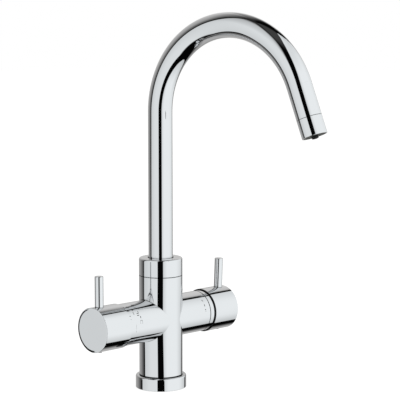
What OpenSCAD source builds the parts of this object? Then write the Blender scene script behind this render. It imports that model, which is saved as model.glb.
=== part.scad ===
// Four-way kitchen mixer tap with a swan-neck spout.
// Millimetres. +Z is up, -Y is the front, +X is the mixer handle's side.
// The origin is the centre of the base's underside, on the deck.

/* [Body] */
// Diameter of the upright body
body_d = 45; // [44:0.5:50]
// Height of the shoulder that the collar stands on
body_top = 117.5; // [112:0.5:130]
// Height of the arms' centre line
arm_z = 72; // [70:0.5:76]
// Diameter of the two arms
arm_d = 43; // [42.5:0.1:43.8]
// Reach of the left arm from the body's centre line
left_arm = 60; // [56:0.5:70]
// Reach of the right arm from the body's centre line
right_arm = 51.4; // [50:0.2:60]
// Bevel on the edges that meet at a seam
seam_edge = 0.3; // [0.2:0.1:0.6]
// Width of the shadow groove where two plated pieces meet
seam_slot = 0.5; // [0.3:0.1:1]
// Depth of that groove
seam_depth = 0.6; // [0.4:0.1:1]
// Width of the groove between the body and the base ring
foot_slot = 0.8; // [0.4:0.1:1.2]

/* [Base] */
// Diameter of the base ring
base_ring_d = 52.5; // [51:0.5:60]
// Height of the base ring
base_ring_h = 12.9; // [10:0.1:18]
// Rounding of the base ring's upper edge
base_ring_edge = 1.8; // [0.5:0.1:2.5]
// Diameter of the body's foot inside the base ring
foot_d = 34; // [33:0.5:36]
// Height of the foot's underside above the deck
foot_lift = 1; // [0.5:0.5:3]
// Thickness of the base gasket
gasket_h = 2.4; // [1.5:0.1:4]
// Width of the base gasket
gasket_w = 4.1; // [3:0.1:5]
// Tapping diameter of the fixing stud hole
stud_hole_d = 6.8; // [5:0.1:7]
// Depth of the fixing stud hole
stud_depth = 16; // [10:1:25]

/* [Waterways] */
// Distance of each inlet from the two centre planes
inlet_offset = 7.5; // [7.2:0.1:8]
// Tapping diameter of the hot and cold inlets
inlet_d = 9; // [8:0.1:9.2]
// Tapping diameter of the two filtered water inlets
filter_inlet_d = 7; // [6.2:0.1:8]
// Depth of the tapped length of every inlet
inlet_depth = 14; // [10:1:20]
// Bore of the waterways
way_d = 5.6; // [4.5:0.1:6]
// Diameter of the mixing chamber
chamber_d = 18; // [14:0.5:20]
// Height of the chamber's floor above the arms' centre line
chamber_rise = 10; // [9:0.5:12]

/* [Collar] */
// Height of the swivel collar
collar_h = 18.1; // [16:0.1:30]
// Rounding of the collar's upper edge
collar_edge = 2; // [1:0.1:3]
// Gap round the spout tube where it enters the collar
collar_gap = 1; // [0.4:0.1:1.2]
// Wall of the collar round the body's threaded neck
collar_wall = 3.5; // [3:0.1:4]
// Height of the neck above the body's shoulder
neck_h = 6.5; // [6:0.5:8.5]
// Thickness of each slide ring
slide_ring_h = 1; // [0.8:0.1:1.6]
// Diameter of the grub screw that stops the swivel
stop_screw_d = 5; // [4:0.5:5]
// Diameter of that screw's plain tip
stop_tip_d = 2.8; // [2:0.1:3.2]

/* [Spout] */
// Outer diameter of the spout tube
tube_d = 25; // [23:0.5:26]
// Wall of the spout tube
tube_wall = 1; // [0.8:0.1:1.4]
// Centre-line radius of the arch
arch_r = 88.5; // [60:0.5:120]
// Height of the arch's centre
arch_z = 286; // [220:1:360]
// Angle at which the spout's end leans outwards
spout_lean = 21; // [0:1:45]
// Length of the straight tube after the arch
straight_end = 32; // [20:0.5:60]
// Angle that the spout is turned from the front
spout_turn = 8; // [-60:1:60]
// Swivel allowed each way from the front
swivel_limit = 70; // [30:5:75]
// Diameter of the spout base in the body's socket
spout_base_d = 29.86; // [29.5:0.02:31]
// Length of the spout base below the neck's top
spout_base_l = 32.5; // [30:0.5:33]
// Thickness of the spout base's flange
flange_h = 4; // [3.2:0.1:5]
// Radial gap between the spout base's flange and the neck's outside
flange_gap = 0.8; // [0.4:0.1:1.2]
// Section of the spout base's seal rings
seal_d = 2.06; // [1.6:0.02:2.1]

/* [Filtered water tube] */
// Outer diameter of the filtered water tube
filter_tube_d = 6; // [5:0.1:6.4]
// Bore of the filtered water tube
filter_tube_bore = 4; // [2.5:0.1:4.2]
// Outer diameter of the spigot that the tube turns on
spigot_d = 8; // [7.6:0.1:8.4]
// Bore of the spigot
spigot_bore = 4.4; // [3:0.1:4.8]
// Outer diameter of the tube coupling
coupling_d = 11.2; // [10.6:0.1:13]
// Length of the tube coupling
coupling_l = 18; // [16:0.5:20]
// Thickness of the coupling's three ribs
coupling_rib = 1.6; // [1:0.1:3]

/* [Outlet] */
// Length of the outlet sleeve
sleeve_h = 18.6; // [16:0.1:30]
// Wall of the outlet sleeve
sleeve_wall = 1.4; // [1.3:0.1:2]
// Rounding of the sleeve's mouth
sleeve_edge = 0.4; // [0.3:0.1:0.9]
// Length of the sleeve's spigot inside the tube
sleeve_spigot = 8; // [5:0.5:12]
// Depth of the aerator insert's face below the sleeve's mouth
face_depth = 0.3; // [0.2:0.1:2]
// Outer diameter of the nozzle that stands out of the aerator
nozzle_d = 6.8; // [6:0.1:7.8]
// Length of the nozzle beyond the sleeve's mouth
nozzle_proud = 2.4; // [1:0.1:6]
// Bore of the nozzle
nozzle_bore = 3.6; // [2:0.1:4]
// Holes in the innermost row of the aerator
aerator_holes = 12; // [8:1:12]
// Rows of holes in the aerator
aerator_rows = 3; // [2:1:3]

/* [Handles] */
// Angle by which the right lever leans to the front of upright in the photograph
mixer_lean = 2.6; // [0:0.2:5]
// Diameter of both knobs
knob_d = 45.5; // [44.6:0.1:50]
// Wall of both knobs
knob_wall = 2.8; // [2:0.1:3.2]
// Rounding of the knobs' outer edges
knob_edge = 0.5; // [0.2:0.1:1]
// Length of the left knob
filter_knob_l = 32.3; // [30:0.1:38]
// Length of the right knob
mixer_knob_l = 33; // [30:0.1:38]
// Gap between the left arm and its knob
knob_gap = 0.4; // [0.3:0.1:1]
// Diameter of the lever pins
lever_d = 8.8; // [6:0.1:9]
// Height of the lever pins' tops above the arms' centre line
lever_rise = 53.7; // [40:0.1:80]
// Distance of the lever pins from the knobs' flat ends
lever_inset = 9; // [8:0.1:9.5]
// Depth of the lever pins' seats in the knobs
lever_seat = 2.2; // [1.6:0.1:2.6]
// Diameter of the levers' threaded studs
lever_stud_d = 5; // [4:0.5:5]
// Distance of the knob screws from the knobs' flat ends
screw_inset = 9.2; // [8.8:0.1:10]
// Diameter of the knob screws
knob_screw_d = 4; // [3:0.5:5]
// Length of the knob screws
knob_screw_l = 8; // [5:0.5:10]
// Diameter of the plugs over the knob screws
plug_d = 5.2; // [5.2:0.1:6.5]
// Height of the plugs above the knobs' surface
plug_proud = 0.9; // [0.2:0.1:1.2]

/* [Filter valve] */
// Depth of the filter valve in the left arm
valve_depth = 36; // [34:0.5:38]
// Outer diameter of the filter valve's threaded body
valve_d = 19; // [18.6:0.1:22]
// Thickness of every ceramic disc of the filter valve
valve_disc_h = 3.5; // [2.5:0.1:4]
// Thickness of the filter valve's rubber seat
valve_seal_h = 2.5; // [1.5:0.1:4]
// Diameter of the filter spindle
spindle_d = 8; // [7:0.1:9]
// Height of the filter valve's hexagon
valve_hex_h = 6; // [4:0.5:6]
// Size across the flats of that hexagon
valve_hex = 22; // [20:0.5:26]
// Turn allowed each way from shut
filter_turn_limit = 90; // [45:5:90]

/* [Mixer cartridge] */
// Depth of the cartridge in the right arm
cartridge_depth = 29.4; // [28:0.2:30]
// Outer diameter of the cartridge
cartridge_d = 35; // [34:0.1:35.2]
// Thickness of every ceramic disc of the cartridge
disc_h = 4; // [3:0.1:4.4]
// Thickness of the cartridge's base below the discs
cartridge_base_h = 5; // [4:0.1:6]
// Diameter of the cartridge stem
stem_d = 12; // [10:0.1:13]
// Length of the thin cover ring
cover_ring_l = 5.9; // [5.2:0.1:8]
// Thickness of the black slide ring's rim
slide_rim = 0.7; // [0.6:0.1:2]
// Step from the knob's side down to the slide ring
slide_step = 0.45; // [0.2:0.05:1]
// Running gap between the cover ring and the slide ring
slide_gap = 0.2; // [0.2:0.05:0.6]

/* [Fits] */
// Radial clearance of a shaft in its bore
run_fit = 0.06; // [0.03:0.01:0.1]
// Radial clearance of a piece fixed in its seat
seat_fit = 0.05; // [0.03:0.01:0.1]
// Gap between two faces that slide over each other
face_fit = 0.04; // [0.02:0.01:0.1]

/* [Hidden] */
$fn = 96;
overcut = 1;
body_r = body_d / 2;
arm_r = arm_d / 2;
tube_r = tube_d / 2;
tube_bore_r = tube_r - tube_wall;
bend_swell = 0.02;
foot_r = foot_d / 2;
neck_r = body_r - collar_wall;
flange_r = neck_r - flange_gap;
knob_r = knob_d / 2;
knob_bore_r = knob_r - knob_wall;
knob_low_edge = 0.15;

// Heights in the collar, from the neck upwards
neck_top = body_top + neck_h;
flange_z = neck_top + slide_ring_h + face_fit;
upper_slide_z = flange_z + flange_h + face_fit;
web_z = upper_slide_z + slide_ring_h;
collar_top = body_top + collar_h;
stop_z = flange_z + flange_h / 2;
stop_slot_r = spout_base_d / 2 + 0.27;
stop_tip_r = stop_slot_r + 0.6;
collar_bore_r = neck_r + seat_fit;

// The body's socket and what stands in it
socket_r = spout_base_d / 2 + run_fit;
base_bottom = neck_top - spout_base_l;
base_end_gap = 2;
tube_seat_rise = 23;
base_step = 1;
first_seal_rise = 7;
seal_pitch = 8;
socket_floor = base_bottom - base_end_gap;
chamber_floor = arm_z + chamber_rise;
tube_seat_z = base_bottom + tube_seat_rise;
base_bore_r = tube_bore_r - base_step;
seal_play = 0.02;
seal_groove_r = socket_r - seal_d - seal_play;
seal_z = [base_bottom + first_seal_rise, base_bottom + first_seal_rise + seal_pitch];

// Filtered water: well, spigot and coupling
well_depth = 8;
well_r = spigot_d / 2 + 0.5;
well_floor = chamber_floor - well_depth;
spigot_foot_h = 4;
spigot_flange_h = 2;
spigot_reach = 13;
coupling_rise = 3;
coupling_gap = 1;
rib_rise = 6;
rib_l = 10;
spigot_top = base_bottom + spigot_reach;
coupling_z = base_bottom + coupling_rise;
coupling_shoulder = spigot_top + coupling_gap;
filter_tube_z = coupling_shoulder + coupling_gap;
spigot_seal_drop = 4;
spigot_seal_z = spigot_top - spigot_seal_drop;
spigot_seal_d = 1.1;

// Distance of both shafts' ends from the knobs' flat ends
shaft_inset = 6.5;

// Stations along the left arm, counted outwards from the body's centre line
valve_floor = left_arm - valve_depth;
valve_r = valve_d / 2;
valve_bore_r = valve_r + seat_fit;
valve_low = valve_floor + valve_seal_h;
valve_moving = valve_low + valve_disc_h;
valve_foot = valve_moving + face_fit + valve_disc_h;
valve_foot_h = 4;
valve_key_l = 10.6;
valve_key_w = 2.8;
valve_key_h = 1.4;
valve_cavity_r = valve_r - 0.9;
valve_disc_r = valve_cavity_r - 0.1;
valve_web = valve_foot + valve_foot_h + face_fit;
valve_nose = left_arm + valve_hex_h + 3;
spindle_r = spindle_d / 2;
clip_h = 1;
filter_clip = valve_nose + 0.1;
filter_knob_start = left_arm + knob_gap;
filter_knob_end = filter_knob_start + filter_knob_l;
filter_hub_start = filter_clip + clip_h + 0.9;
spindle_end = filter_knob_end - shaft_inset;
valve_port = 5.5;
valve_port_r = 1.9;
filter_outlet_rise = 4.5;

// Stations along the right arm, counted the same way
cartridge_floor = right_arm - cartridge_depth;
cartridge_r = cartridge_d / 2;
cartridge_bore_r = cartridge_r + 0.15;
cartridge_cavity_r = cartridge_r - 2.5;
base_flange_h = 2;
disc_low = cartridge_floor + cartridge_base_h;
disc_moving = disc_low + disc_h;
stem_foot = disc_moving + face_fit + disc_h;
stem_foot_h = 4.5;
stem_key_l = 15.6;
stem_key_w = 3.8;
stem_key_h = 1.6;
lid_low = stem_foot + stem_foot_h + face_fit;
nut_low = right_arm - 5.4;
nut_step = right_arm - 0.4;
nut_r = cartridge_r + 1.1;
nut_collar_r = cartridge_r - 2.5;
nut_collar_end = right_arm + cover_ring_l - 2.5;
cartridge_neck_r = cartridge_r - 4.5;
cartridge_nose = right_arm + cover_ring_l - 1;
cover_end = right_arm + cover_ring_l;
stem_r = stem_d / 2;
stem_spline_r = stem_r - 1;
mixer_clip = cartridge_nose + 0.1;
slide_ring_start = cover_end + slide_gap;
mixer_knob_start = slide_ring_start + slide_rim;
mixer_knob_end = mixer_knob_start + mixer_knob_l;
mixer_hub_start = mixer_clip + clip_h + 4;
stem_end = mixer_knob_end - shaft_inset;
mixer_port = 6.5;
mixer_outlet_rise = 12;
stem_seal_d = 1.6;
small_seal_d = 1.1;

// Outlet stations, counted along the flow from the seam
sleeve_bore_r = tube_r - sleeve_wall;
aerator_seat = 5.5;
aerator_seal_h = 1.5;
screen_z = aerator_seat + aerator_seal_h;
screen_h = 0.6;
insert_z = screen_z + screen_h;
insert_r = sleeve_bore_r - seat_fit;
insert_end = sleeve_h - face_depth;
nozzle_body_r = filter_tube_d / 2 + 1;
nozzle_top = 3;
nozzle_shoulder = 10;

// Local frame of the left arm: z runs outwards, x points up
module left_side() {
    translate([0, 0, arm_z]) rotate([0, -90, 0]) children();
}

// Local frame of the right arm: z runs outwards, x points up
module right_side() {
    translate([0, 0, arm_z]) rotate([0, 90, 0]) rotate([0, 0, 180]) children();
}

// Local frame of the right handle, as far as it leans
module mixer_side() {
    right_side() rotate([0, 0, mixer_lean]) children();
}

// The spout as it stands, turned from the front
module on_spout() {
    rotate([0, 0, spout_turn]) children();
}

// Plane of the spout: x is the reach to the front, y is the height
module spout_plane() {
    rotate([90, 0, -90]) children();
}

// Frame at the arch's end: z runs along the flow
module at_arch_end() {
    on_spout() spout_plane()
        translate([arch_r + arch_r * cos(spout_lean), arch_z + arch_r * sin(spout_lean)])
            rotate([0, 0, spout_lean]) rotate([90, 0, 0]) children();
}

// Frame at the seam between the tube and the outlet sleeve
module at_outlet() {
    at_arch_end() translate([0, 0, straight_end]) children();
}

// Cylinder between two stations on z
module rod(r, low, high) {
    translate([0, 0, low]) cylinder(r = r, h = high - low);
}

// Ring between two stations on z
module ring(outer_r, inner_r, low, high) {
    difference() {
        rod(outer_r, low, high);
        rod(inner_r, low - overcut, high + overcut);
    }
}

// Cylinder with bevelled ends, between two stations on z
module bevelled_rod(r, low, high, low_bevel, high_bevel) {
    rotate_extrude() polygon([
        [0, low], [r - low_bevel, low], [r, low + low_bevel],
        [r, high - high_bevel], [r - high_bevel, high], [0, high]
    ]);
}

// Section of a ring whose upper outer edge is rounded
module rounded_section(inner_r, outer_r, low, high, edge) {
    translate([inner_r, low]) square([outer_r - inner_r, high - low - edge]);
    translate([inner_r, low]) square([outer_r - edge - inner_r, high - low]);
    translate([outer_r - edge, high - edge]) circle(edge);
}

// Rubber ring of round section, centred on z
module seal_ring(outer_r, section_d, z) {
    translate([0, 0, z]) rotate_extrude()
        translate([outer_r - section_d / 2, 0]) circle(d = section_d, $fn = 24);
}

// Tube along the spout's centre line: upright, arch and straight end
module spout_run(outer_r, inner_r, low, end) {
    spout_plane() translate([arch_r, arch_z]) rotate([0, 0, spout_lean]) {
        translate([arch_r, 0]) rotate([90, 0, 0]) ring(outer_r, inner_r, 0, end);
        rotate_extrude(angle = 180 - spout_lean) translate([arch_r, 0]) difference() {
            circle(outer_r + bend_swell);
            circle(inner_r - bend_swell);
        }
        rotate([0, 0, 180 - spout_lean]) translate([arch_r, 0]) rotate([-90, 0, 0])
            ring(outer_r, inner_r, 0, arch_z - low);
    }
}

module body() {
    color("silver") difference() {
        union() {
            rotate_extrude() polygon([
                [0, foot_lift], [foot_r, foot_lift], [foot_r, base_ring_h],
                [body_r - seam_depth, base_ring_h], [body_r - seam_depth, base_ring_h + foot_slot],
                [body_r, base_ring_h + foot_slot], [body_r, body_top - seam_slot],
                [body_r - seam_depth, body_top - seam_slot], [body_r - seam_depth, body_top],
                [neck_r, body_top], [neck_r, neck_top], [0, neck_top]
            ]);
            left_side() bevelled_rod(arm_r, 0, left_arm, 0, seam_edge);
            right_side() bevelled_rod(arm_r, 0, right_arm, 0, seam_edge);
        }
        rod(socket_r, socket_floor, neck_top + overcut);
        rod(chamber_d / 2, chamber_floor, socket_floor + overcut);
        rod(well_r, well_floor, chamber_floor + overcut);
        rod(stud_hole_d / 2, foot_lift - overcut, foot_lift + stud_depth);
        left_side() rod(valve_bore_r, valve_floor, left_arm + overcut);
        right_side() {
            rod(cartridge_bore_r, cartridge_floor, right_arm + overcut);
            rod(nut_r + seat_fit, nut_low, right_arm + overcut);
            for (side = [-1, 1])
                translate([-9, side * 7, 0]) rod(2.1, cartridge_floor - 2.5, cartridge_floor + overcut);
            translate([mixer_outlet_rise, 0, 0])
                rod(way_d / 2, chamber_d / 2 - 2, cartridge_floor + overcut);
        }
        left_side() translate([filter_outlet_rise, 0, 0])
            rod(valve_port_r, 0, valve_floor + overcut);
        for (side = [-1, 1]) {
            translate([inlet_offset, side * inlet_offset, foot_lift]) {
                rod(inlet_d / 2, -overcut, inlet_depth);
                rod(way_d / 2, 0, arm_z - foot_lift);
            }
            translate([-inlet_offset, side * inlet_offset, foot_lift]) {
                rod(filter_inlet_d / 2, -overcut, inlet_depth);
                rod(way_d / 2, 0, arm_z - foot_lift);
            }
            right_side() translate([0, side * mixer_port, 0])
                rod(way_d / 2, inlet_offset, cartridge_floor + overcut);
            left_side() translate([0, side * valve_port, 0])
                rod(valve_port_r, inlet_offset, valve_floor + overcut);
        }
    }
}

module base_ring() {
    color("silver") difference() {
        rotate_extrude()
            rounded_section(foot_r + seat_fit, base_ring_d / 2, 0, base_ring_h, base_ring_edge);
        translate([0, 0, -overcut]) rotate_extrude()
            translate([gasket_r() - gasket_w / 2 - seat_fit, 0])
                square([gasket_w + 2 * seat_fit, gasket_h + overcut]);
    }
}

// Mean radius of the base gasket
function gasket_r() = (foot_r + base_ring_d / 2) / 2;

module base_gasket() {
    color("dimgray") ring(gasket_r() + gasket_w / 2, gasket_r() - gasket_w / 2, 0, gasket_h);
}

module swivel_collar() {
    color("silver") difference() {
        rotate_extrude() rounded_section(0, body_r, body_top, collar_top, collar_edge);
        rod(collar_bore_r, body_top - overcut, web_z);
        rod(tube_r + collar_gap, web_z - overcut, collar_top + overcut);
        translate([0, 0, stop_z]) rotate([-90, 0, 0])
            rod(stop_screw_d / 2 + seat_fit, 0, body_r + overcut);
        rotate_extrude() polygon([
            [body_r - seam_edge, body_top], [body_r + overcut, body_top + seam_edge + overcut],
            [body_r + overcut, body_top - overcut], [body_r - seam_edge, body_top - overcut]
        ]);
    }
}

module slide_rings() {
    color("ivory") {
        ring(collar_bore_r - 0.2, socket_r + 0.3, neck_top, neck_top + slide_ring_h);
        ring(collar_bore_r - 0.2, tube_r + collar_gap, upper_slide_z, web_z);
    }
}

module swivel_stop_screw() {
    color("gray") translate([0, 0, stop_z]) rotate([-90, 0, 0]) difference() {
        union() {
            rod(stop_screw_d / 2, collar_bore_r + 0.1, body_r - 0.4);
            rod(stop_tip_d / 2, stop_tip_r, collar_bore_r + 0.2);
        }
        translate([0, 0, body_r - 2.2]) cylinder(r = 1.45, h = 3, $fn = 6);
    }
}

module filter_spigot() {
    color("goldenrod") difference() {
        union() {
            rod(well_r - seat_fit, chamber_floor - spigot_foot_h, chamber_floor);
            rod(well_r + 1.5, chamber_floor, chamber_floor + spigot_flange_h);
            rod(spigot_d / 2, chamber_floor, spigot_top);
        }
        rod(spigot_bore / 2, chamber_floor - spigot_foot_h - overcut, spigot_top + overcut);
        translate([0, 0, spigot_seal_z]) ring(
            spigot_d / 2 + overcut, spigot_d / 2 - spigot_seal_d + run_fit - seal_play,
            -0.8, 0.8);
    }
}

module spigot_seal() {
    color("black") seal_ring(spigot_d / 2 + run_fit - seal_play, spigot_seal_d - seal_play, spigot_seal_z);
}

module filter_valve_body() {
    color("goldenrod") left_side() difference() {
        union() {
            rod(valve_r, valve_low, left_arm);
            translate([0, 0, left_arm]) cylinder(d = valve_hex / cos(30), h = valve_hex_h, $fn = 6);
            rod(spindle_r + 2.6, left_arm, valve_nose);
        }
        rod(valve_cavity_r, valve_low - overcut, valve_web);
        rod(spindle_r + run_fit, valve_low, valve_nose + overcut);
    }
}

// Three ports of the filter valve: two supplies at the sides, the outlet above
module valve_ports(low, high) {
    for (side = [-1, 1]) translate([0, side * valve_port, 0]) rod(valve_port_r, low, high);
    translate([filter_outlet_rise, 0, 0]) rod(valve_port_r, low, high);
}

module filter_valve_seal() {
    color("black") left_side() difference() {
        rod(valve_r - 0.1, valve_floor, valve_low);
        valve_ports(valve_floor - overcut, valve_low + overcut);
    }
}

module filter_fixed_disc() {
    color("white") left_side() difference() {
        rod(valve_disc_r, valve_low, valve_moving);
        valve_ports(valve_low - overcut, valve_moving + overcut);
    }
}

module filter_moving_disc() {
    color("white") left_side() difference() {
        rod(valve_disc_r, valve_moving + face_fit, valve_foot);
        rotate([0, 0, 150]) rotate_extrude(angle = 60) translate([3.4, 0])
            translate([0, valve_moving]) square([3.2, valve_disc_h / 2]);
        translate([0, 0, valve_foot - valve_key_h / 2])
            cube([valve_key_l + 0.4, valve_key_w + 0.2, valve_key_h + 0.2], center = true);
    }
}

module filter_spindle() {
    color("goldenrod") left_side() difference() {
        union() {
            rod(valve_disc_r, valve_foot, valve_foot + valve_foot_h);
            rod(spindle_r, valve_foot, spindle_end);
            translate([0, 0, valve_foot - valve_key_h / 2 + 0.5])
                cube([valve_key_l, valve_key_w, valve_key_h + 0.8], center = true);
        }
        for (z = spindle_seal_z())
            ring_groove(spindle_r, small_seal_d, z);
        ring(spindle_r + overcut, spindle_r - 0.8, filter_clip, filter_clip + clip_h + 0.05);
        splines(spindle_r, filter_hub_start, spindle_end);
    }
}

// Places of the spindle's and the stem's seal rings
function spindle_seal_z() = [valve_web + 6, valve_web + 11];
function stem_seal_z() = [lid_low + 3.4, lid_low + 7.4];

// Groove for a seal ring in a shaft
module ring_groove(shaft_r, section_d, z) {
    ring(shaft_r + overcut, shaft_r + run_fit - section_d - seal_play,
        z - section_d * 0.65, z + section_d * 0.65);
}

// Grooves between the splines at the end of a shaft
module splines(shaft_r, low, high) {
    count = 16;
    for (i = [0 : count - 1]) rotate([0, 0, (i + 0.5) * 360 / count])
        translate([shaft_r, 0, 0]) rod(0.45, low, high + overcut);
}

module spindle_seals() {
    color("black") left_side() for (z = spindle_seal_z())
        seal_ring(spindle_r + run_fit - seal_play, small_seal_d - seal_play, z);
}

// Open retaining clip round a shaft
module clip(shaft_r, z) {
    difference() {
        ring(shaft_r + 1.8, shaft_r - 0.75, z, z + clip_h);
        translate([0, -shaft_r, z + clip_h / 2])
            cube([shaft_r * 1.3, shaft_r * 2, clip_h + 2], center = true);
    }
}

module spindle_clip() {
    color("gray") left_side() clip(spindle_r, filter_clip);
}

// Hollow knob with a hub, a boss for the lever and a boss for the screw
module knob(start, end, hub_start, shaft_r, shaft_end) {
    lever_z = end - lever_inset;
    screw_z = end - screw_inset;
    hub_r = shaft_r + 3.6;
    difference() {
        union() {
            difference() {
                rotate_extrude() polygon(concat(
                    [[0, start], [knob_r - knob_low_edge, start], [knob_r, start + knob_low_edge]],
                    [for (a = [0:15:90])
                        [knob_r - knob_edge * (1 - cos(a)), end - knob_edge * (1 - sin(a))]],
                    [[0, end]]
                ));
                rod(knob_bore_r, start - overcut, end - knob_wall);
            }
            rod(hub_r, hub_start, end - knob_wall / 2);
            translate([0, 0, lever_z]) rotate([0, 90, 0]) rod(lever_stud_d / 2 + 2, 0, knob_r - 1.5);
            translate([0, 0, screw_z]) rotate([0, -90, 0]) rod(plug_d / 2 + 1.2, 0, knob_r - 1.5);
        }
        rod(shaft_r + seat_fit, hub_start - overcut, shaft_end + 0.2);
        translate([0, 0, lever_z]) rotate([0, 90, 0]) {
            rod(lever_d / 2 + seat_fit, knob_r - lever_seat, knob_r + overcut);
            rod(lever_stud_d / 2 + seat_fit, lever_stud_low(), knob_r);
        }
        translate([0, 0, screw_z]) rotate([0, -90, 0]) {
            rod(knob_screw_d / 2 + seat_fit, 0, knob_r + overcut);
            rod(plug_d / 2 + seat_fit, knob_r - 2, knob_r + overcut);
        }
    }
}

// Radius at which the lever's stud ends inside the knob
function lever_stud_low() = knob_r - lever_seat - 9;

// Lever pin with its threaded stud, standing on a knob that ends at a station
module lever(end) {
    translate([0, 0, end - lever_inset]) rotate([0, 90, 0]) {
        bevelled_rod(lever_d / 2, knob_r - lever_seat, lever_rise, 0, 0.4);
        rod(lever_stud_d / 2, lever_stud_low() + 0.5, knob_r - lever_seat + 0.5);
    }
}

// Grub screw that clamps a knob's hub on its shaft
module knob_screw(end, shaft_r) {
    translate([0, 0, end - screw_inset]) rotate([0, -90, 0]) difference() {
        rod(knob_screw_d / 2, shaft_r + 0.02, shaft_r + knob_screw_l);
        translate([0, 0, shaft_r + knob_screw_l - 2.4])
            cylinder(r = knob_screw_d * 0.29, h = 3, $fn = 6);
    }
}

// Plug over the grub screw's hole
module screw_plug(end) {
    translate([0, 0, end - screw_inset]) rotate([0, -90, 0])
        bevelled_rod(plug_d / 2, knob_r - 1.9, knob_r + plug_proud, 0, 0.4);
}

module filter_knob() {
    color("silver") left_side()
        knob(filter_knob_start, filter_knob_end, filter_hub_start, spindle_r, spindle_end);
}

module filter_lever() {
    color("silver") left_side() lever(filter_knob_end);
}

module filter_knob_screw() {
    color("gray") left_side() knob_screw(filter_knob_end, spindle_r);
}

module filter_screw_plug() {
    color("dimgray") left_side() screw_plug(filter_knob_end);
}

// Three ports of the cartridge: hot and cold at the sides, the outlet above
module cartridge_ports(low, high, rise) {
    for (side = [-1, 1]) translate([0, side * mixer_port, 0]) rod(way_d / 2, low, high);
    translate([rise, 0, 0]) rod(way_d / 2, low, high);
}

module cartridge_base() {
    color("whitesmoke") right_side() difference() {
        union() {
            rod(cartridge_r - 0.05, cartridge_floor, cartridge_floor + base_flange_h);
            rod(cartridge_cavity_r - seat_fit, cartridge_floor, disc_low);
            for (side = [-1, 1])
                translate([-9, side * 7, 0]) rod(2, cartridge_floor - 2, cartridge_floor + 1);
        }
        cartridge_ports(cartridge_floor - overcut, disc_low + overcut, mixer_outlet_rise - 1.4);
        for (p = seal_places())
            translate(p) rod(way_d / 2 + 1.3, cartridge_floor - overcut, cartridge_floor + 1.2);
    }
}

// Centres of the cartridge's three base seals
function seal_places() = [
    [0, -mixer_port, 0], [0, mixer_port, 0], [mixer_outlet_rise - 1.4, 0, 0]
];

module cartridge_seals() {
    color("black") right_side() for (p = seal_places()) translate(p)
        ring(way_d / 2 + 1.3 - seat_fit, way_d / 2 + 0.1, cartridge_floor, cartridge_floor + 1.2);
}

module cartridge_housing() {
    color("whitesmoke") right_side() difference() {
        union() {
            rod(cartridge_r, cartridge_floor + base_flange_h, nut_low);
            rod(cartridge_neck_r, nut_low, cartridge_nose);
        }
        rod(cartridge_cavity_r, cartridge_floor, lid_low);
        rod(stem_r + run_fit, cartridge_floor, cartridge_nose + overcut);
    }
}

module cartridge_fixed_disc() {
    color("white") right_side() difference() {
        rod(cartridge_cavity_r - 0.3, disc_low, disc_moving);
        cartridge_ports(disc_low - overcut, disc_moving + overcut, mixer_outlet_rise - 2.4);
    }
}

module cartridge_moving_disc() {
    color("white") mixer_side() difference() {
        rod(cartridge_cavity_r - 0.4, disc_moving + face_fit, stem_foot);
        rotate([0, 0, 190]) rotate_extrude(angle = 110) translate([4.5, disc_moving])
            square([6, disc_h / 2]);
        translate([0, 0, stem_foot - stem_key_h / 2])
            cube([stem_key_l + 0.4, stem_key_w + 0.2, stem_key_h + 0.2], center = true);
    }
}

module cartridge_stem() {
    color("goldenrod") mixer_side() difference() {
        union() {
            rod(cartridge_cavity_r - 0.4, stem_foot, stem_foot + stem_foot_h);
            rod(stem_r, stem_foot, mixer_hub_start);
            rod(stem_spline_r, stem_foot, stem_end);
            translate([0, 0, stem_foot - stem_key_h / 2 + 0.5])
                cube([stem_key_l, stem_key_w, stem_key_h + 0.8], center = true);
        }
        for (z = stem_seal_z()) ring_groove(stem_r, stem_seal_d, z);
        ring(stem_r + overcut, stem_r - 0.8, mixer_clip, mixer_clip + clip_h + 0.05);
        splines(stem_spline_r, mixer_hub_start + 0.5, stem_end);
    }
}

module stem_seals() {
    color("black") mixer_side() for (z = stem_seal_z())
        seal_ring(stem_r + run_fit - seal_play, stem_seal_d - seal_play, z);
}

module stem_clip() {
    color("gray") mixer_side() clip(stem_r, mixer_clip);
}

module cartridge_nut() {
    color("goldenrod") right_side() difference() {
        union() {
            rod(nut_r, nut_low, nut_step);
            rod(nut_collar_r, nut_low, nut_collar_end);
        }
        rod(cartridge_neck_r + seat_fit, nut_low - overcut, nut_collar_end + overcut);
        for (turn = [0 : 90 : 270]) rotate([0, 0, turn])
            translate([nut_collar_r, 0, nut_collar_end])
                cube([2.4, 4, 2.4], center = true);
    }
}

module cover_ring() {
    color("silver") right_side() difference() {
        bevelled_rod(arm_r, right_arm, cover_end, 0, seam_edge);
        ring(arm_r + overcut, arm_r - seam_depth, right_arm - overcut, right_arm + seam_slot);
        rod(nut_collar_r + seat_fit, right_arm - overcut, nut_collar_end);
        rod(cartridge_neck_r + 0.2, right_arm, cover_end + overcut);
    }
}

module knob_slide_ring() {
    color("black") mixer_side() difference() {
        union() {
            rod(knob_r - slide_step, slide_ring_start, mixer_knob_start);
            rod(knob_bore_r - seat_fit, slide_ring_start, mixer_knob_start + 2.6);
        }
        rod(knob_bore_r - 4, slide_ring_start - overcut, mixer_knob_start + 2.6 + overcut);
    }
}

module mixer_knob() {
    color("silver") mixer_side()
        knob(mixer_knob_start, mixer_knob_end, mixer_hub_start, stem_spline_r, stem_end);
}

module mixer_lever() {
    color("silver") mixer_side() lever(mixer_knob_end);
}

module mixer_knob_screw() {
    color("gray") mixer_side() knob_screw(mixer_knob_end, stem_spline_r);
}

module mixer_screw_plug() {
    color("dimgray") mixer_side() screw_plug(mixer_knob_end);
}

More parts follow.
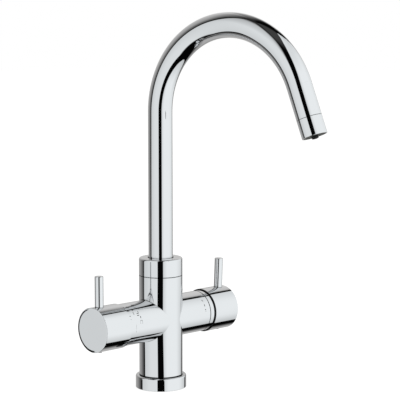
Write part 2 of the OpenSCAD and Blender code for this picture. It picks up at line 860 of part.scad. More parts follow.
module spout_base() {
    tip_angle = asin(stop_tip_d / 2 / stop_tip_r) + 0.6;
    color("goldenrod") on_spout() difference() {
        union() {
            rod(spout_base_d / 2, base_bottom, flange_z + flange_h);
            rod(flange_r, flange_z, flange_z + flange_h);
        }
        rod(base_bore_r, base_bottom - overcut, tube_seat_z + overcut);
        rod(tube_r + seat_fit, tube_seat_z, flange_z + flange_h + overcut);
        for (z = seal_z)
            ring(socket_r + overcut, seal_groove_r, z - seal_d * 0.65, z + seal_d * 0.65);
        rotate([0, 0, 90 - swivel_limit - tip_angle])
            rotate_extrude(angle = 2 * (swivel_limit + tip_angle))
                translate([stop_slot_r, flange_z - overcut])
                    square([flange_r - stop_slot_r + overcut, flange_h + 2 * overcut]);
    }
}

module spout_seals() {
    color("black") on_spout() for (z = seal_z) seal_ring(socket_r - seal_play, seal_d - seal_play, z);
}

module tube_coupling() {
    color("whitesmoke") on_spout() difference() {
        union() {
            rod(coupling_d / 2, coupling_z, coupling_z + coupling_l);
            for (turn = [0 : 120 : 240]) rotate([0, 0, turn])
                translate([coupling_d / 2 - 1, -coupling_rib / 2, coupling_z + rib_rise])
                    cube([base_bore_r - run_fit - coupling_d / 2 + 1, coupling_rib, rib_l]);
        }
        rod(spigot_d / 2 + run_fit, coupling_z - overcut, coupling_shoulder);
        rod(filter_tube_bore / 2, coupling_z, coupling_z + coupling_l + overcut);
        rod(filter_tube_d / 2 + seat_fit, filter_tube_z, coupling_z + coupling_l + overcut);
    }
}

module spout_tube() {
    $fn = 48;
    color("silver") on_spout() spout_run(tube_r, tube_bore_r, tube_seat_z, straight_end);
}

module filter_tube() {
    $fn = 40;
    color("white") on_spout()
        spout_run(filter_tube_d / 2, filter_tube_bore / 2, filter_tube_z,
            straight_end + nozzle_shoulder);
}

module outlet_sleeve() {
    color("silver") at_outlet() difference() {
        union() {
            translate([0, 0, sleeve_h]) mirror([0, 0, 1]) rotate_extrude() {
                difference() {
                    square([tube_r, sleeve_h - seam_slot]);
                    translate([tube_r - sleeve_edge, 0]) difference() {
                        translate([0, -overcut]) square([sleeve_edge + overcut, sleeve_edge + overcut]);
                        translate([0, sleeve_edge]) circle(sleeve_edge);
                    }
                }
                square([tube_r - seam_depth, sleeve_h]);
            }
            rod(tube_bore_r - seat_fit, -sleeve_spigot, 1);
        }
        rod(sleeve_bore_r - 1.9, -sleeve_spigot - overcut, aerator_seat + overcut);
        rod(sleeve_bore_r, aerator_seat, sleeve_h + overcut);
    }
}

module aerator_seal() {
    color("black") at_outlet()
        ring(insert_r, sleeve_bore_r - 2.1, aerator_seat, screen_z);
}

// Rows of fine holes round the nozzle
module aerator_rows(hole_r, low, high) {
    first_r = nozzle_body_r + 1.3;
    step = (insert_r - 1.2 - first_r) / aerator_rows;
    for (row = [0 : aerator_rows - 1]) {
        count = aerator_holes + 6 * row;
        for (i = [0 : count - 1]) rotate([0, 0, i * 360 / count])
            translate([first_r + row * step, 0, 0]) rod(hole_r, low, high);
    }
}

module aerator_screen() {
    color("gray") at_outlet() difference() {
        ring(insert_r, nozzle_body_r + seat_fit, screen_z, insert_z);
        aerator_rows(0.5, screen_z - overcut, insert_z + overcut);
    }
}

module aerator_insert() {
    color("black") at_outlet() difference() {
        rod(insert_r, insert_z, insert_end);
        rod(nozzle_body_r + seat_fit, insert_z - overcut, insert_end + overcut);
        ring(insert_r - 1.2, nozzle_body_r + 0.9, insert_z - overcut, insert_end - 2);
        aerator_rows(0.6, insert_z, insert_end + overcut);
    }
}

module filter_nozzle() {
    color("black") at_outlet() difference() {
        union() {
            rod(nozzle_body_r, nozzle_top, insert_end);
            rod(nozzle_body_r + 1, screen_z - 1, screen_z);
            bevelled_rod(nozzle_d / 2, insert_end - 1, sleeve_h + nozzle_proud, 0, 0.5);
        }
        rod(filter_tube_d / 2 + seat_fit, nozzle_top - overcut, nozzle_shoulder);
        rod(nozzle_bore / 2, nozzle_top, sleeve_h + nozzle_proud + overcut);
    }
}

body();
base_ring();
base_gasket();
swivel_collar();
slide_rings();
swivel_stop_screw();
filter_spigot();
spigot_seal();
filter_valve_body();
filter_valve_seal();
filter_fixed_disc();
cartridge_base();
cartridge_seals();
cartridge_housing();
cartridge_fixed_disc();
cartridge_nut();
cover_ring();
spout_base();
spout_seals();
tube_coupling();
spout_tube();
filter_tube();
outlet_sleeve();
aerator_seal();
aerator_screen();
aerator_insert();
filter_nozzle();
filter_spindle();
filter_moving_disc();
spindle_seals();
spindle_clip();
filter_knob();
filter_lever();
filter_knob_screw();
filter_screw_plug();
cartridge_stem();
cartridge_moving_disc();
stem_seals();
stem_clip();
mixer_knob();
knob_slide_ring();
mixer_lever();
mixer_knob_screw();
mixer_screw_plug();
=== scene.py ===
"""Looks of a four-way kitchen mixer tap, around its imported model. Metres, Z up, the deck at z = 0."""

import math

import bmesh
import bpy
from mathutils import Matrix, Vector


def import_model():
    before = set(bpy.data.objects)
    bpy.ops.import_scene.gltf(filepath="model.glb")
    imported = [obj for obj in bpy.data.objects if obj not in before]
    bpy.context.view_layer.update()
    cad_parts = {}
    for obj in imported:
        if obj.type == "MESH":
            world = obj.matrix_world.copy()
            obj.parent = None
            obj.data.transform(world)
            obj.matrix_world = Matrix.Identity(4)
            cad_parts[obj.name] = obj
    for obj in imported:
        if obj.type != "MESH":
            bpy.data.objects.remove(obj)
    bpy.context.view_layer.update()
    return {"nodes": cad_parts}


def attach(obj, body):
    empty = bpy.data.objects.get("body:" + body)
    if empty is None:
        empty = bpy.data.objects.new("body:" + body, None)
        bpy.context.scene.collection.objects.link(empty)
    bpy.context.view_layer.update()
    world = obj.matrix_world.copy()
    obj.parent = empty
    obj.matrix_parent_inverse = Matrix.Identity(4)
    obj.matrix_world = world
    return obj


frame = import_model()
MM = 0.001
NODES = frame["nodes"]
LINEAR = "LINEAR"

# Real sizes that the dressed pieces share with the part, in millimetres
ARM_Z = 72.0
ARM_R = 21.5

# The camera, fitted to the photograph's perspective
CAMERA_PLACE = Vector((-1.0988, -1.1894, 0.3987))
CAMERA_FORWARD = Vector((0.6913, 0.7117, -0.1249))
CAMERA_RIGHT = Vector((0.7173, -0.6968, 0.0))
LENS = 143.0
SENSOR_WIDTH = 36.0

# Chrome: its tone at the low and high end of its haze, and its roughness by haze and by wipe marks
CHROME_DARK = (0.66, 0.67, 0.68, 1)
CHROME_LIGHT = (0.68, 0.685, 0.695, 1)
HAZE_ROUGHNESS = (0.35, 0.75, 0.008, 0.02)
WIPE_ROUGHNESS = (0.55, 0.75, 0, 0.012)

# Painted shade in creases: its tone, how far round a spot counts in millimetres, and a ramp from crease to
# skin
CREASE_SHADE_TONE = (0.006, 0.006, 0.0055, 1)
CREASE_REACH = 1.3
CREASE_SAMPLES = 12
CREASE_RAMP = (0.4, 0.95, 0.05, 1)

# A knob's flat end: radius, width of the rim that rolls off and its drop, in millimetres
KNOB_RIM = (22.3, 2.0, 0.17)

# The fine dark line of painted shade along a seam, in millimetres: its edges' softness and its tone, and
# for each seam the axis across it, its place and the line's half width
SEAM_SOFTNESS = 0.1
SEAM_SHADE_TONE = 0.04
RING_SEAM = ("X", 51.65, 0.4)
GAP_SEAM = ("X", 57.8, 0.85)
FOOT_SEAM = ("Z", 13.3, 0.65)

# Brass and steel: dark and light colour, and roughness by patches or by grain
BRASS_DARK = (0.72, 0.52, 0.24, 1)
BRASS_LIGHT = (0.83, 0.65, 0.34, 1)
BRASS_ROUGHNESS = (0.3, 0.8, 0.22, 0.38)
STEEL_DARK = (0.55, 0.55, 0.56, 1)
STEEL_LIGHT = (0.66, 0.66, 0.67, 1)
STEEL_ROUGHNESS = (0.3, 0.7, 0.2, 0.32)

# Moulded and sintered materials: name, dark and light colour, roughness from and to over their patches, the
# grain's cycles a metre and its depth in metres
PATCH_RANGE = (0.3, 0.75)
RUBBER = ("black_rubber", (0.012, 0.012, 0.012, 1), (0.03, 0.03, 0.029, 1), 0.5, 0.7, 1600, 0.00004)
CERAMIC = ("alumina_ceramic", (0.78, 0.77, 0.73, 1), (0.86, 0.85, 0.82, 1), 0.12, 0.22, 2200, 0.00001)
ACETAL = ("acetal", (0.74, 0.74, 0.72, 1), (0.81, 0.81, 0.79, 1), 0.35, 0.5, 1200, 0.00003)
POLYTHENE = ("polythene_tube", (0.66, 0.69, 0.7, 1), (0.76, 0.78, 0.79, 1), 0.4, 0.55, 700, 0.00005)
AERATOR = ("aerator_acetal", (0.05, 0.056, 0.048, 1), (0.1, 0.107, 0.094, 1), 0.35, 0.5, 1400, 0.00003)
INK = ("printed_ink", (0.02, 0.02, 0.021, 1), (0.06, 0.06, 0.062, 1), 0.35, 0.55, 1800, 0.00001)
BLACK = ("black_acetal", (0.006, 0.006, 0.006, 1), (0.012, 0.012, 0.012, 1), 0.32, 0.48, 1400, 0.00003)
BLACK_GLOSS = 0.25


def node_tree(name):
    """A new material with an empty node tree and its output."""
    material = bpy.data.materials.new(name)
    material.use_nodes = True
    tree = material.node_tree
    tree.nodes.clear()
    return material, tree, tree.nodes.new("ShaderNodeOutputMaterial")


def link(tree, value, socket):
    """Sets a socket to a number or colour, or links another socket to it."""
    if isinstance(value, bpy.types.NodeSocket):
        tree.links.new(value, socket)
    else:
        socket.default_value = value


def math_node(tree, operation, a, b=0.0, c=0.0, clamp=False):
    """One step of arithmetic on sockets or numbers."""
    node = tree.nodes.new("ShaderNodeMath")
    node.operation = operation
    node.use_clamp = clamp
    for socket, value in zip(node.inputs, (a, b, c)):
        link(tree, value, socket)
    return node.outputs[0]


def ramp(tree, value, low, high, to_low=0.0, to_high=1.0, form="SMOOTHSTEP"):
    """Value from low..high mapped to to_low..to_high, held at the ends."""
    node = tree.nodes.new("ShaderNodeMapRange")
    node.interpolation_type = form
    link(tree, value, node.inputs["Value"])
    node.inputs["From Min"].default_value = low
    node.inputs["From Max"].default_value = high
    node.inputs["To Min"].default_value = to_low
    node.inputs["To Max"].default_value = to_high
    return node.outputs["Result"]


def product(tree, *factors):
    """The factors multiplied."""
    result = factors[0]
    for factor in factors[1:]:
        result = math_node(tree, "MULTIPLY", result, factor)
    return result


def sum_of(tree, *terms):
    """The terms added."""
    result = terms[0]
    for term in terms[1:]:
        result = math_node(tree, "ADD", result, term)
    return result


def difference(tree, a, b):
    """The first less the second."""
    return math_node(tree, "SUBTRACT", a, b)


def ramp_product(tree, value, *settings):
    """A ramp of the value for each setting, multiplied."""
    return product(tree, *(ramp(tree, value, *setting) for setting in settings))


def ramp_sum(tree, value, *settings):
    """A ramp of the value for each setting, added."""
    return sum_of(tree, *(ramp(tree, value, *setting) for setting in settings))


def object_place(tree):
    """X, Y and Z in object space."""
    place = tree.nodes.new("ShaderNodeTexCoord")
    split = tree.nodes.new("ShaderNodeSeparateXYZ")
    tree.links.new(place.outputs["Object"], split.inputs[0])
    return split.outputs


def noise(tree, scale, detail=3.0, roughness=0.5, stretch=(1, 1, 1)):
    """Noise in object space; scale is cycles a metre."""
    place = tree.nodes.new("ShaderNodeTexCoord")
    mapping = tree.nodes.new("ShaderNodeMapping")
    mapping.inputs["Scale"].default_value = stretch
    tree.links.new(place.outputs["Object"], mapping.inputs["Vector"])
    node = tree.nodes.new("ShaderNodeTexNoise")
    tree.links.new(mapping.outputs["Vector"], node.inputs["Vector"])
    node.inputs["Scale"].default_value = scale
    node.inputs["Detail"].default_value = detail
    node.inputs["Roughness"].default_value = roughness
    return node.outputs["Fac"]


def mix_colour(tree, factor, a, b):
    """Colour a where the factor is 0, colour b where it is 1."""
    node = tree.nodes.new("ShaderNodeMix")
    node.data_type = "RGBA"
    link(tree, factor, node.inputs["Factor"])
    link(tree, a, node.inputs["A"])
    link(tree, b, node.inputs["B"])
    return node.outputs["Result"]


def bump(tree, height, distance, strength=1.0, normal=None):
    """A normal bent by a height, over another bump's normal where one is given."""
    node = tree.nodes.new("ShaderNodeBump")
    node.inputs["Strength"].default_value = strength
    node.inputs["Distance"].default_value = distance
    link(tree, height, node.inputs["Height"])
    if normal is not None:
        tree.links.new(normal, node.inputs["Normal"])
    return node.outputs["Normal"]


def principled(tree, output, colour, roughness, **inputs):
    """The material's shader; further inputs are named with _ for a space."""
    shader = tree.nodes.new("ShaderNodeBsdfPrincipled")
    link(tree, colour, shader.inputs["Base Color"])
    link(tree, roughness, shader.inputs["Roughness"])
    for name, value in inputs.items():
        link(tree, value, shader.inputs[name.replace("_", " ")])
    tree.links.new(shader.outputs[0], output.inputs["Surface"])


def crease_shade_mask(tree):
    """Painted shade in seams and creases: near 0 deep in a seam or crease, 1 on open skin."""
    node = tree.nodes.new("ShaderNodeAmbientOcclusion")
    node.samples = CREASE_SAMPLES
    node.inputs["Distance"].default_value = CREASE_REACH * MM
    return ramp(tree, node.outputs["AO"], *CREASE_RAMP)


def rim_roll(tree, radius, width, depth, normal):
    """A disc's rim rounded off by its polishing, about the arms' axis."""
    place = object_place(tree)
    across = math_node(tree, "POWER", place["Y"], 2.0)
    up = math_node(tree, "POWER", difference(tree, place["Z"], ARM_Z * MM), 2.0)
    distance = math_node(tree, "SQRT", math_node(tree, "ADD", across, up))
    fall = ramp(tree, distance, (radius - width) * MM, radius * MM, 1, 0)
    return bump(tree, fall, depth * MM, 1.0, normal)


def painted_seam_shade(tree, axis, middle, half):
    """Painted shade along a seam across one axis: dark there, 1 elsewhere; its place and half width are in
    millimetres.
    """
    away = math_node(tree, "ABSOLUTE", difference(tree, object_place(tree)[axis], middle * MM))
    return ramp(tree, away, (half - SEAM_SOFTNESS) * MM, (half + SEAM_SOFTNESS) * MM, SEAM_SHADE_TONE, 1)


def chrome(name, rim=None, shaded_seams=()):
    """Bright chrome plate: mirror-like, with faint wipe marks, a slight ripple and a little haze."""
    material, tree, output = node_tree(name)
    haze = noise(tree, scale=22, detail=4, roughness=0.6)
    wipes = noise(tree, scale=9, detail=6, roughness=0.65, stretch=(1, 1, 9))
    roughness = sum_of(tree, ramp(tree, haze, *HAZE_ROUGHNESS), ramp(tree, wipes, *WIPE_ROUGHNESS))
    ripple = bump(tree, noise(tree, scale=55, detail=1, roughness=0.4), distance=0.0001, strength=0.05)
    if rim:
        ripple = rim_roll(tree, *rim, ripple)
    # Painted shade: the chrome darkens in creases and gaps between parts, and along the listed seams
    unshaded = crease_shade_mask(tree)
    for seam in shaded_seams:
        unshaded = math_node(tree, "MINIMUM", unshaded, painted_seam_shade(tree, *seam))
    tone = mix_colour(tree, unshaded, CREASE_SHADE_TONE, mix_colour(tree, haze, CHROME_DARK, CHROME_LIGHT))
    principled(tree, output, tone, roughness, Metallic=1.0, Normal=ripple)
    return material


def brass():
    """Machined brass: fine turning lines, dull patches."""
    material, tree, output = node_tree("machined_brass")
    patches = noise(tree, scale=60, detail=4, roughness=0.6)
    lines = noise(tree, scale=1500, detail=2, stretch=(0.05, 0.05, 1))
    colour = mix_colour(tree, patches, BRASS_DARK, BRASS_LIGHT)
    roughness = ramp(tree, patches, *BRASS_ROUGHNESS)
    turned = bump(tree, lines, distance=0.00004, strength=0.25)
    principled(tree, output, colour, roughness, Metallic=1.0, Normal=turned)
    return material


def steel():
    """Stainless steel with a fine grain."""
    material, tree, output = node_tree("stainless_steel")
    grain = noise(tree, scale=1800, roughness=0.55)
    patches = noise(tree, scale=70)
    colour = mix_colour(tree, patches, STEEL_DARK, STEEL_LIGHT)
    roughness = ramp(tree, grain, *STEEL_ROUGHNESS)
    grained = bump(tree, grain, distance=0.00002, strength=0.2)
    principled(tree, output, colour, roughness, Metallic=1.0, Normal=grained)
    return material


def plain(name, dark, light, rough_low, rough_high, grain_scale, grain_depth, **inputs):
    """A moulded or sintered material: its colour varies a little and its surface has a grain."""
    material, tree, output = node_tree(name)
    patches = noise(tree, scale=80, detail=4, roughness=0.55)
    grain = noise(tree, grain_scale, roughness=0.6)
    colour = mix_colour(tree, patches, dark, light)
    roughness = ramp(tree, patches, *PATCH_RANGE, rough_low, rough_high)
    grained = bump(tree, grain, grain_depth, strength=0.3)
    principled(tree, output, colour, roughness, Normal=grained, **inputs)
    return material


finishes = {
    "chrome": chrome("chrome_plate"),
    "brass": brass(),
    "steel": steel(),
    "seal_rubber": plain(*RUBBER),
    "ceramic": plain(*CERAMIC),
    "white_plastic": plain(*ACETAL),
    "tube_plastic": plain(*POLYTHENE),
    "aerator_plastic": plain(*AERATOR),
    "black_plastic": plain(*BLACK, Specular_IOR_Level=BLACK_GLOSS),
}
for node in NODES.values():
    for slot in node.material_slots:
        if slot.material and slot.material.name.split(".")[0] in finishes:
            slot.material = finishes[slot.material.name.split(".")[0]]

# The knobs' ends roll off at the rim, from polishing, and a fine dark line of painted shade lies along the
# open seams
for name, finish in (
    ("body", chrome("body_chrome", shaded_seams=(RING_SEAM, FOOT_SEAM))),
    ("cover_ring", chrome("ring_chrome", shaded_seams=(RING_SEAM, GAP_SEAM))),
    ("filter_knob", chrome("filter_knob_chrome", KNOB_RIM)),
    ("mixer_knob", chrome("mixer_knob_chrome", KNOB_RIM, (GAP_SEAM,))),
):
    NODES[name].material_slots[0].material = finish


# Printed ticks, in millimetres and degrees: place along the arm, angle from the top towards the front,
# length, width, and turn, which is 0 along the arm and 90 round it
LEFT_TICKS = (
    (-58.8, 21.5, 1.4, 1.3, 0), (-54.4, 25, 3.2, 1.0, 70), (-45.6, 20, 3.4, 2.0, 20),
    (-57.5, 38, 2.6, 1.2, 40), (-51.3, 37, 2.4, 2.0, 45), (-52.4, 48.7, 3.8, 0.5, 90),
    (-46.0, 47.5, 2.8, 0.5, 100), (-47.4, 51.5, 2.6, 0.7, 0), (-47.7, 57, 2.8, 0.7, 0),
    (-45.3, 63, 2.1, 0.8, 95), (-45.4, 72, 2.6, 0.35, 0), (-46.9, 76.3, 3.6, 0.15, 98),
    (-44.3, 77, 3.6, 0.2, 94), (-58.2, 55.6, 1.4, 0.7, 0), (-58.4, 65, 1.1, 0.3, 0),
    (-52.9, 92, 8.4, 0.09, 90),
)
RIGHT_TICKS = (
    (44.2, 48.5, 2.2, 0.8, 65), (44.6, 63.5, 2.4, 0.7, 90), (44.6, 75.5, 1.3, 0.8, 0),
    (44.6, 80, 1.0, 0.4, 0),
)
TICK_STEPS = 8
INK_SUNK = 0.1
INK_PROUD = 0.03


def tick_section(mesh, x, angle, along, width, turn):
    """Four points across a tick, at a distance along it from its middle."""
    turned = math.radians(turn)
    points = []
    for radius in (ARM_R - INK_SUNK, ARM_R + INK_PROUD):
        for across in (-width / 2, width / 2):
            dx = along * math.cos(turned) - across * math.sin(turned)
            arc = along * math.sin(turned) + across * math.cos(turned)
            around = math.radians(angle) + arc / ARM_R
            point = Vector((x + dx, -radius * math.sin(around), ARM_Z + radius * math.cos(around)))
            points.append(mesh.verts.new(point * MM))
    return points


def tick(mesh, x, angle, length, width, turn):
    """One printed tick, laid on the arm's round in short steps."""
    sections = []
    for step in range(TICK_STEPS + 1):
        along = (step / TICK_STEPS - 0.5) * length
        sections.append(tick_section(mesh, x, angle, along, width, turn))
    for low, high in zip(sections, sections[1:]):
        for a, b in ((0, 1), (1, 3), (3, 2), (2, 0)):
            mesh.faces.new((low[a], low[b], high[b], high[a]))
    first = sections[0]
    last = sections[-1]
    mesh.faces.new((first[0], first[2], first[3], first[1]))
    mesh.faces.new((last[0], last[1], last[3], last[2]))


def printed_marks(name, ticks, ink):
    """Plain ticks beside a handle, in one object that stays with the body."""
    mesh = bmesh.new()
    for one in ticks:
        tick(mesh, *one)
    bmesh.ops.recalc_face_normals(mesh, faces=mesh.faces[:])
    data = bpy.data.meshes.new(name)
    mesh.to_mesh(data)
    mesh.free()
    data.materials.append(ink)
    marks = bpy.data.objects.new(name, data)
    bpy.context.scene.collection.objects.link(marks)
    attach(marks, "tap_body")


ink = plain(*INK)
printed_marks("left_arm_marks", LEFT_TICKS, ink)
printed_marks("right_arm_marks", RIGHT_TICKS, ink)

# The studio is a dome that gloss alone sees. Its light is laid out by two angles in degrees: the height
# over its middle, and the heading, 0 towards the camera and growing to the picture's right.
DOME_CENTRE = Vector((0, 0, 0.3))
DOME_R = 0.8
DOME_SEGMENTS = 64
DOME_RINGS = 32
CAMERA_HEADING = -134.17
BRIGHTNESS = 1.36
DARK_GLOW = 0.002
WALL_TONE = (1.0, 0.99, 0.978, 1)
BOX_TONE = (0.965, 0.993, 1.0, 1)
BOX_TONE_RAMP = (0, 0.3)

# A ramp here is from, to, its value at each, and LINEAR where it isn't smooth. Of several ramps under one
# name, HEIGHTS and HEADINGS are multiplied, and the others are added.

# The grey wall left of the back: pale behind the tap and dark towards the left box
LEFT_WALL_LIGHT = (-180, -126, 0.44, 0.28, LINEAR)
LEFT_WALL_END = (-127, -96, 1, 0, LINEAR)
LEFT_WALL_SHIFT = ((-15, 12, 0, -6), (45, 62, 0, 5))
LEFT_WALL_HEIGHTS = ((-15, 12, 1, 1.3), (48, 78, 1, 0.1, LINEAR))

# The wall right of the back: it ends at the dark gap beside the right box, and falls off high up
RIGHT_WALL_EDGE = (14, 32, 139, 143)
RIGHT_WALL_BLUR = ((-65, -25, 34, 2, LINEAR), (14, 32, 0, 6))
RIGHT_WALL_ABOVE = (-18, 8, 0.3, 0.6)
RIGHT_WALL_BELOW = (-52, -26, 0.42, 0.3)
RIGHT_WALL_LIGHT = (140, 168, 0.84, 1)
RIGHT_WALL_DARK_HEIGHT = (29, 48, 0, 1)
RIGHT_WALL_DARK_HEADING = (146, 172, 0.92, 0)
RIGHT_WALL_HEIGHTS = ((28, 52, 1, 0.4, LINEAR), (50, 78, 1, 0.25))
WALL_HEIGHTS = ((66, 92, 1, 0), (-82, -72, 0, 1))

# The left soft box: it starts at the wall and ends towards the camera, where it is dimmer above
LEFT_BOX_START = ((-24, 0, -95.6, -87, LINEAR), (-31, -25, 5.5, 0, LINEAR), (20, 50, 0, 1.5))
LEFT_BOX_START_BLUR = (-1, 1)
LEFT_BOX_END = ((0, 14, -14.7, -15.5), (22, 52, 0, 7), (50, 84, 0, -30))
LEFT_BOX_END_BLUR = ((18, 44, 0.7, 4.5), (50, 78, 0, 4.5))
LEFT_BOX_LIGHT = (-90, -45, 0.67, 0.78)
LEFT_BOX_DIM_HEIGHT = (24, 38, 0, 1)
LEFT_BOX_DIM_HEADING = (-25, -8, 0, 0.45, LINEAR)
LEFT_BOX_HEIGHTS = ((30, 70, 1, 0.62, LINEAR), (67, 83, 1, 0), (-61, -53, 0, 1))

# The right soft box: what two rounded boxes share, cut by a curve on its far side and by the dark strip in
# front of the camera. A rounded box is its middle heading and half width, and its middle and half height.
LOWER_BOX = (75, 63.5, 2.5, 66.5)
UPPER_BOX = (82.5, 68.5, 2.5, 60.3)
BOX_SPLIT = 2.5
BOX_CORNER = 2.6
BOX_BLUR = 0.03
FAR_CURVE = 0.0077
FAR_CURVE_HIGH = 0.0221
FAR_CURVE_START = 18.0
FAR_END = (138.2, 139.6, 1, 0)
STRIP_END = (0, 14, 11.5, 15)
STRIP_BLUR = (-0.7, 0.7)
RIGHT_BOX_LIGHT = (8, 38, 0.66, 0.895)
RIGHT_BOX_SHADE = ((-34, -12, 0.32, 0.1), (5, 25, 0, 0.1))
RIGHT_BOX_SHADE_HEADING = (84, 137, 0, 1)
RIGHT_BOX_HEIGHTS = ((30, 50, 1, 0.85), (-62, -34, 0.76, 1))

# The faint ceiling over the boxes
CEILING_HEIGHT = (49, 65, 0, 0.048)
CEILING_HEADINGS = ((92, 122, 1, 0), (-115, -75, 0.5, 1), (-12, 8, 0.45, 1))


def dome_angles(tree):
    """Heading and height of a spot on the dome, in degrees."""
    place = tree.nodes.new("ShaderNodeNewGeometry")
    offset = tree.nodes.new("ShaderNodeVectorMath")
    offset.operation = "SUBTRACT"
    offset.inputs[1].default_value = DOME_CENTRE
    tree.links.new(place.outputs["Position"], offset.inputs[0])
    split = tree.nodes.new("ShaderNodeSeparateXYZ")
    tree.links.new(offset.outputs[0], split.inputs[0])
    x, y, z = split.outputs
    degrees = 180 / math.pi
    rise = math_node(tree, "ARCSINE", math_node(tree, "DIVIDE", z, DOME_R))
    front_x = math.cos(math.radians(CAMERA_HEADING))
    front_y = math.sin(math.radians(CAMERA_HEADING))
    along = sum_of(tree, product(tree, x, front_x), product(tree, y, front_y))
    across = difference(tree, product(tree, y, front_x), product(tree, x, front_y))
    turn = math_node(tree, "ARCTAN2", across, along)
    return product(tree, turn, degrees), product(tree, rise, degrees)


def left_wall(tree, heading, height):
    """The grey wall left of the back."""
    shifted = sum_of(tree, heading, ramp_sum(tree, height, *LEFT_WALL_SHIFT))
    light = product(tree, ramp(tree, heading, *LEFT_WALL_LIGHT), ramp(tree, shifted, *LEFT_WALL_END))
    return product(tree, light, ramp_product(tree, height, *LEFT_WALL_HEIGHTS))


def right_wall(tree, heading, height):
    """The grey wall right of the back."""
    past_edge = difference(tree, heading, ramp(tree, height, *RIGHT_WALL_EDGE))
    blur = ramp_sum(tree, height, *RIGHT_WALL_BLUR)
    inside = math_node(tree, "DIVIDE", past_edge, blur, clamp=True)
    above = ramp(tree, height, *RIGHT_WALL_ABOVE)
    below = ramp(tree, height, *RIGHT_WALL_BELOW)
    light = product(tree, math_node(tree, "MAXIMUM", above, below), ramp(tree, heading, *RIGHT_WALL_LIGHT))
    dark_height = ramp(tree, height, *RIGHT_WALL_DARK_HEIGHT)
    dark = product(tree, dark_height, ramp(tree, heading, *RIGHT_WALL_DARK_HEADING))
    heights = ramp_product(tree, height, *RIGHT_WALL_HEIGHTS)
    return product(tree, light, inside, difference(tree, 1.0, dark), heights)


def grey_wall(tree, heading, height):
    """Both halves of the wall at the back."""
    halves = sum_of(tree, left_wall(tree, heading, height), right_wall(tree, heading, height))
    return product(tree, halves, ramp_product(tree, height, *WALL_HEIGHTS))


def left_box(tree, heading, height):
    """The left soft box; its end towards the camera blurs high up."""
    past_start = difference(tree, heading, ramp_sum(tree, height, *LEFT_BOX_START))
    blur = ramp_sum(tree, height, *LEFT_BOX_END_BLUR)
    before_end = difference(tree, sum_of(tree, ramp_sum(tree, height, *LEFT_BOX_END), blur), heading)
    inside = math_node(tree, "DIVIDE", before_end, product(tree, blur, 2.0), clamp=True)
    light = product(tree, ramp(tree, past_start, *LEFT_BOX_START_BLUR), inside,
                    ramp(tree, heading, *LEFT_BOX_LIGHT))
    dim_height = ramp(tree, height, *LEFT_BOX_DIM_HEIGHT)
    dim = product(tree, dim_height, ramp(tree, heading, *LEFT_BOX_DIM_HEADING))
    heights = ramp_product(tree, height, *LEFT_BOX_HEIGHTS)
    return product(tree, light, difference(tree, 1.0, dim), heights)


def box_distance(tree, value, middle, half):
    """A value's distance from a box's middle, 1 at its edge, to a power that rounds the box's corners."""
    offset = math_node(tree, "DIVIDE", difference(tree, value, middle), half)
    return math_node(tree, "POWER", math_node(tree, "ABSOLUTE", offset), BOX_CORNER)


def rounded_box(tree, heading, height, centre, half_width, middle, half_height):
    """1 inside a rounded rectangle on the dome, 0 outside."""
    sideways = box_distance(tree, heading, centre, half_width)
    upward = box_distance(tree, height, middle, half_height)
    return ramp(tree, sum_of(tree, sideways, upward), 1 - BOX_BLUR, 1 + BOX_BLUR, 1, 0)


def square_above(tree, height, start, scale):
    """The square of the height over a start, scaled; 0 below the start."""
    over = math_node(tree, "MAXIMUM", difference(tree, height, start), 0.0)
    return product(tree, over, over, scale)


def right_box(tree, heading, height):
    """The large soft box on the right, brightest in its middle."""
    lower = rounded_box(tree, heading, math_node(tree, "MINIMUM", height, BOX_SPLIT), *LOWER_BOX)
    upper = rounded_box(tree, heading, math_node(tree, "MAXIMUM", height, BOX_SPLIT), *UPPER_BOX)
    curve = square_above(tree, height, 0.0, FAR_CURVE)
    curve_high = square_above(tree, height, FAR_CURVE_START, FAR_CURVE_HIGH)
    slant = sum_of(tree, heading, math_node(tree, "MINIMUM", curve, curve_high))
    past_strip = difference(tree, heading, ramp(tree, height, *STRIP_END))
    inside = product(tree, lower, upper, ramp(tree, slant, *FAR_END), ramp(tree, past_strip, *STRIP_BLUR))
    shade_heights = ramp_sum(tree, height, *RIGHT_BOX_SHADE)
    shade = product(tree, shade_heights, ramp(tree, heading, *RIGHT_BOX_SHADE_HEADING))
    light = product(tree, ramp(tree, heading, *RIGHT_BOX_LIGHT), difference(tree, 1.0, shade))
    return product(tree, inside, light, ramp_product(tree, height, *RIGHT_BOX_HEIGHTS))


def ceiling(tree, heading, height):
    """The faint light over the boxes."""
    headings = ramp_product(tree, heading, *CEILING_HEADINGS)
    return product(tree, ramp(tree, height, *CEILING_HEIGHT), headings)


def studio_dome():
    """Soft boxes, a grey wall and dark gaps round the tap, seen in reflections alone."""
    material, tree, output = node_tree("studio_dome")
    angles = dome_angles(tree)
    left = left_box(tree, *angles)
    right = right_box(tree, *angles)
    left_side = math_node(tree, "MAXIMUM", grey_wall(tree, *angles), left)
    right_side = math_node(tree, "MAXIMUM", right, ceiling(tree, *angles))
    light = sum_of(tree, left_side, right_side)
    boxes = ramp(tree, math_node(tree, "MAXIMUM", left, right), *BOX_TONE_RAMP)
    emission = tree.nodes.new("ShaderNodeEmission")
    link(tree, mix_colour(tree, boxes, WALL_TONE, BOX_TONE), emission.inputs["Color"])
    strength = math_node(tree, "MULTIPLY_ADD", light, BRIGHTNESS, DARK_GLOW)
    tree.links.new(strength, emission.inputs["Strength"])
    tree.links.new(emission.outputs[0], output.inputs["Surface"])
    bpy.ops.mesh.primitive_uv_sphere_add(
        segments=DOME_SEGMENTS, ring_count=DOME_RINGS, radius=DOME_R, location=DOME_CENTRE)
    dome = bpy.context.object
    dome.name = "studio_dome"
    dome.data.materials.append(material)
    for ray in ("camera", "diffuse", "transmission", "volume_scatter", "shadow"):
        setattr(dome, "visible_" + ray, False)


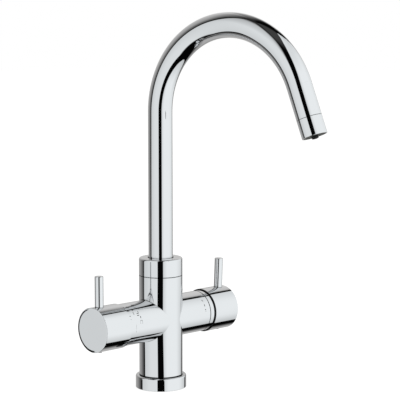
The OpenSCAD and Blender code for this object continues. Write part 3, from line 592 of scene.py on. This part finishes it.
# The floor, just under the deck: the grey that light bounces off, and in the picture a grey that takes the
# shadow, with white added to it
FLOOR_GREY = (0.8, 0.8, 0.8, 1)
FLOOR_SHADOWED = (0.3, 0.3, 0.3, 1)
FLOOR_WHITE = 0.86
FLOOR_SIZE = 12
FLOOR_Z = -0.0004

# The world: white, at one strength as light and at another where it is seen
WHITE = (1, 1, 1, 1)
WORLD_LIGHT = 0.6
WORLD_SEEN = 1.0

# Soft lamps: name, place, diameter in metres, watts
LAMPS = (
    ("key_lamp", Vector((0.9, -1.3, 1.7)), 1.3, 14),
    ("fill_lamp", Vector((-1.5, 0.2, 1.2)), 1.5, 6),
)
LAMP_TARGET = Vector((0, 0, 0.15))


def matt(tree, colour):
    """A matt shader of one colour."""
    shader = tree.nodes.new("ShaderNodeBsdfDiffuse")
    shader.inputs["Color"].default_value = colour
    return shader.outputs[0]


def background(tree, strength):
    """White background light of one strength."""
    shader = tree.nodes.new("ShaderNodeBackground")
    shader.inputs["Color"].default_value = WHITE
    shader.inputs["Strength"].default_value = strength
    return shader.outputs[0]


def choose(tree, factor, a, b, socket):
    """Sends shader a to the socket where the factor is 0 and shader b where it is 1."""
    mix = tree.nodes.new("ShaderNodeMixShader")
    for value, mix_input in zip((factor, a, b), mix.inputs):
        tree.links.new(value, mix_input)
    tree.links.new(mix.outputs[0], socket)


def floor():
    """A white floor that is white in the picture and keeps the tap's soft shadow."""
    material, tree, output = node_tree("studio_floor")
    rays = tree.nodes.new("ShaderNodeLightPath")
    glow = tree.nodes.new("ShaderNodeEmission")
    glow.inputs["Strength"].default_value = FLOOR_WHITE
    white = tree.nodes.new("ShaderNodeAddShader")
    tree.links.new(matt(tree, FLOOR_SHADOWED), white.inputs[0])
    tree.links.new(glow.outputs[0], white.inputs[1])
    in_picture = rays.outputs["Is Camera Ray"]
    choose(tree, in_picture, matt(tree, FLOOR_GREY), white.outputs[0], output.inputs["Surface"])
    bpy.ops.mesh.primitive_plane_add(size=FLOOR_SIZE, location=(0, 0, FLOOR_Z))
    plane = bpy.context.object
    plane.name = "studio_floor"
    plane.data.materials.append(material)
    plane.visible_glossy = False


def world():
    """Even light; white behind the tap in the picture, in gloss and through clear parts."""
    studio = bpy.data.worlds.new("studio_world")
    bpy.context.scene.world = studio
    studio.use_nodes = True
    tree = studio.node_tree
    tree.nodes.clear()
    rays = tree.nodes.new("ShaderNodeLightPath").outputs
    reflected = math_node(tree, "MAXIMUM", rays["Is Glossy Ray"], rays["Is Transmission Ray"])
    seen = math_node(tree, "MAXIMUM", rays["Is Camera Ray"], reflected)
    surface = tree.nodes.new("ShaderNodeOutputWorld").inputs["Surface"]
    choose(tree, seen, background(tree, WORLD_LIGHT), background(tree, WORLD_SEEN), surface)


def soft_lamp(name, place, size, power):
    """A round lamp that points at the tap and isn't seen itself."""
    data = bpy.data.lights.new(name, "AREA")
    data.shape = "DISK"
    data.size = size
    data.energy = power
    lamp = bpy.data.objects.new(name, data)
    bpy.context.scene.collection.objects.link(lamp)
    lamp.location = place
    lamp.rotation_euler = (LAMP_TARGET - place).to_track_quat("-Z", "Y").to_euler()
    lamp.visible_glossy = False
    lamp.visible_camera = False


def place_camera():
    """The camera at its fitted place."""
    data = bpy.data.cameras.new("camera")
    data.sensor_fit = "HORIZONTAL"
    data.sensor_width = SENSOR_WIDTH
    data.lens = LENS
    camera = bpy.data.objects.new("camera", data)
    bpy.context.scene.collection.objects.link(camera)
    camera.location = CAMERA_PLACE
    up = CAMERA_RIGHT.cross(CAMERA_FORWARD)
    camera.rotation_euler = Matrix((CAMERA_RIGHT, up, -CAMERA_FORWARD)).transposed().to_euler()
    bpy.context.scene.camera = camera


studio_dome()
floor()
world()
for lamp in LAMPS:
    soft_lamp(*lamp)
place_camera()
bpy.context.scene.view_settings.view_transform = "Standard"
